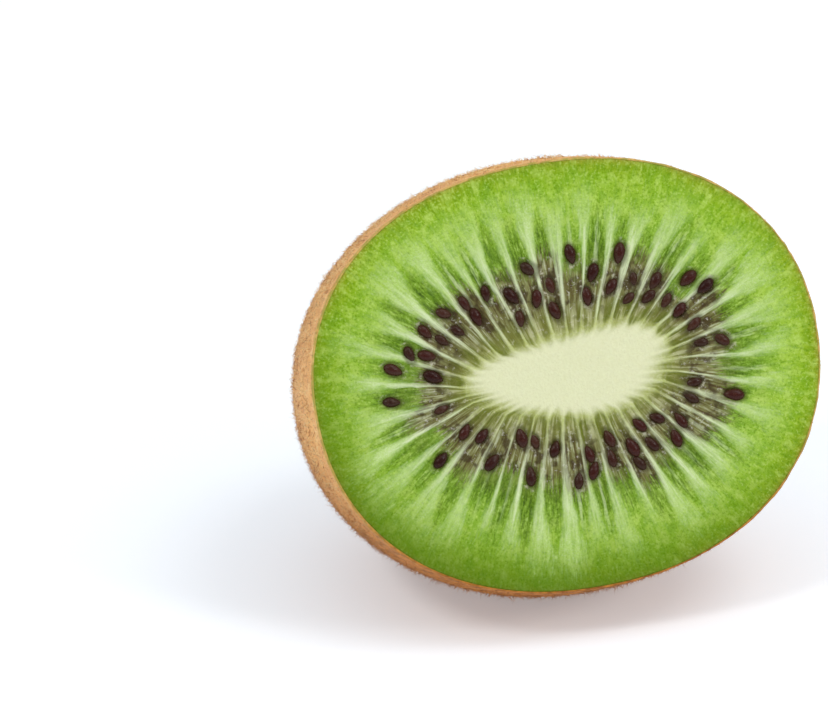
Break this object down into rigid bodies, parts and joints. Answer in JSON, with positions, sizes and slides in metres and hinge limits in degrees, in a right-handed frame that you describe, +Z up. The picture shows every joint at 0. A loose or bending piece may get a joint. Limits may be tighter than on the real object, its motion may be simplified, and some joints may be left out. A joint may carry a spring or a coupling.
{
  "type": "kiwi fruit half",
  "caption": "Half of a hairy brown kiwi fruit, cut straight across, lying on its rounded side with the green cut face and its ring of seeds leaning back.",
  "frame": {"origin": "middle of the bounding box in plan, on the surface that the half lies on", "axes": "+X along the longer way across the cut face, +Z up; the cut face looks along -Y and leans back, the rounded skin side is behind it"},
  "size_m": [0.0538, 0.0436, 0.0469],
  "materials": {
    "flesh": "gloss",
    "skin": "matt",
    "hairs": "matt",
    "seeds": "satin"
  },
  "bodies": {
    "root": {"kiwi_half": "flesh"}
  },
  "joints": []
}
